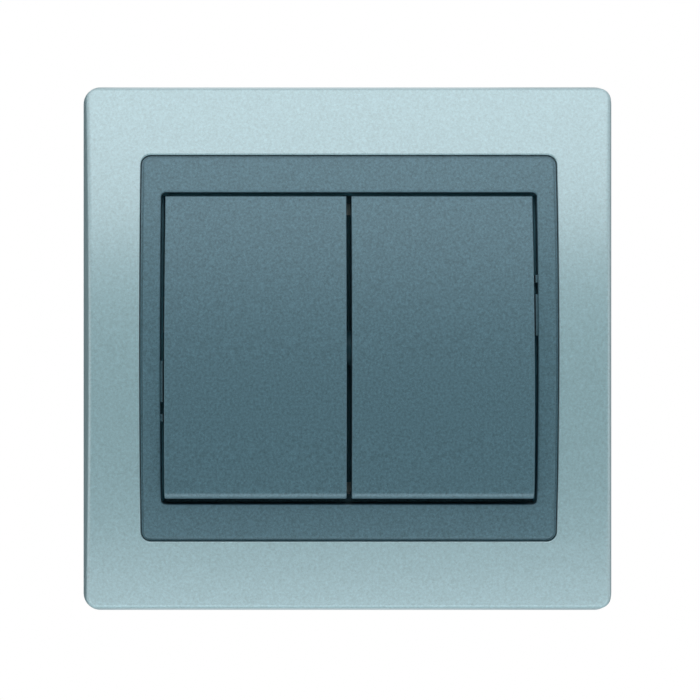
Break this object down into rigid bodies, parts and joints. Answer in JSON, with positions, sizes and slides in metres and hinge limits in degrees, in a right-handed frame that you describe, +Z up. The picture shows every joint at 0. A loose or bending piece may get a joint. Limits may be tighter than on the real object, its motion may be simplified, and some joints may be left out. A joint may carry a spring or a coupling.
{
  "type": "double two-way light switch",
  "caption": "Flush wall switch with side-by-side rocker keys in a dark bezel and a crowned silver frame, on a steel strap with a changeover mechanism behind.",
  "frame": {"origin": "middle of the box screws, on the wall", "axes": "+Z up, -Y out of the wall towards the user, +X right as the user sees it"},
  "size_m": [0.081, 0.0332, 0.0802],
  "materials": {
    "silver_paint": "satin",
    "graphite_paint": "satin",
    "base_plastic": "matte",
    "cover_plastic": "matte",
    "cradle_plastic": "satin",
    "plunger_plastic": "gloss",
    "zinc_steel": "satin",
    "claw_steel": "satin",
    "screw_steel": "satin",
    "spring_steel": "polished",
    "terminal_brass": "satin",
    "tip_silver": "polished"
  },
  "bodies": {
    "switch_body": {"outer_frame": "silver_paint", "inner_bezel": "graphite_paint", "mounting_strap": "zinc_steel", "base_housing": "base_plastic", "mechanism_cover": "cover_plastic", "left_upper_terminal": "terminal_brass", "left_lower_terminal": "terminal_brass", "right_upper_terminal": "terminal_brass", "right_lower_terminal": "terminal_brass", "left_common_terminal": "terminal_brass", "right_common_terminal": "terminal_brass", "fixed_contact_tips": "tip_silver", "terminal_clamps": "screw_steel", "terminal_screws": "screw_steel"},
    "left_key": {"left_rocker": "graphite_paint", "left_cradle": "cradle_plastic", "left_plunger_spring": "spring_steel"},
    "left_plunger_pin": {"left_plunger": "plunger_plastic"},
    "left_seesaw": {"left_moving_contact": "terminal_brass", "left_moving_tips": "tip_silver"},
    "left_claw_arm": {"left_claw": "claw_steel", "left_claw_screw": "screw_steel", "left_claw_nut": "screw_steel"},
    "right_key": {"right_rocker": "graphite_paint", "right_cradle": "cradle_plastic", "right_plunger_spring": "spring_steel"},
    "right_plunger_pin": {"right_plunger": "plunger_plastic"},
    "right_seesaw": {"right_moving_contact": "terminal_brass", "right_moving_tips": "tip_silver"},
    "right_claw_arm": {"right_claw": "claw_steel", "right_claw_screw": "screw_steel", "right_claw_nut": "screw_steel"}
  },
  "joints": [
    {"name": "left_rocker_tilt", "type": "hinge", "parent": "switch_body", "child": "left_key", "pos_m": [-0.00998, -0.0045, 0], "axis": [1, 0, 0], "range_deg": [0, 6]},
    {"name": "left_contact_rock", "type": "hinge", "parent": "switch_body", "child": "left_seesaw", "pos_m": [-0.00998, 0.01203, 0], "axis": [1, 0, 0], "range_deg": [-17.26, 0]},
    {"name": "left_plunger_slide", "type": "slide", "parent": "left_key", "child": "left_plunger_pin", "axis": [0, -0.9986, 0.0523], "range_m": [0, 0.0012], "stiffness_N_per_m": 600, "springref_m": -0.003, "deforming": ["left_plunger_spring"]},
    {"name": "left_claw_swing", "type": "hinge", "parent": "switch_body", "child": "left_claw_arm", "pos_m": [-0.024, -0.0005, 0.005], "axis": [0, 0, 1], "range_deg": [0, 10]},
    {"name": "right_rocker_tilt", "type": "hinge", "parent": "switch_body", "child": "right_key", "pos_m": [0.00998, -0.0045, 0], "axis": [1, 0, 0], "range_deg": [0, 6]},
    {"name": "right_contact_rock", "type": "hinge", "parent": "switch_body", "child": "right_seesaw", "pos_m": [0.00998, 0.01203, 0], "axis": [1, 0, 0], "range_deg": [-17.26, 0]},
    {"name": "right_plunger_slide", "type": "slide", "parent": "right_key", "child": "right_plunger_pin", "axis": [0, -0.9986, 0.0523], "range_m": [0, 0.0012], "stiffness_N_per_m": 600, "springref_m": -0.003, "deforming": ["right_plunger_spring"]},
    {"name": "right_claw_swing", "type": "hinge", "parent": "switch_body", "child": "right_claw_arm", "pos_m": [0.024, -0.0005, -0.005], "axis": [0, 0, -1], "range_deg": [0, 10]}
  ],
  "couplings": [
    {"joint": "left_contact_rock", "follows": "left_rocker_tilt", "ratio": -2.8756},
    {"joint": "right_contact_rock", "follows": "right_rocker_tilt", "ratio": -2.8756}
  ]
}
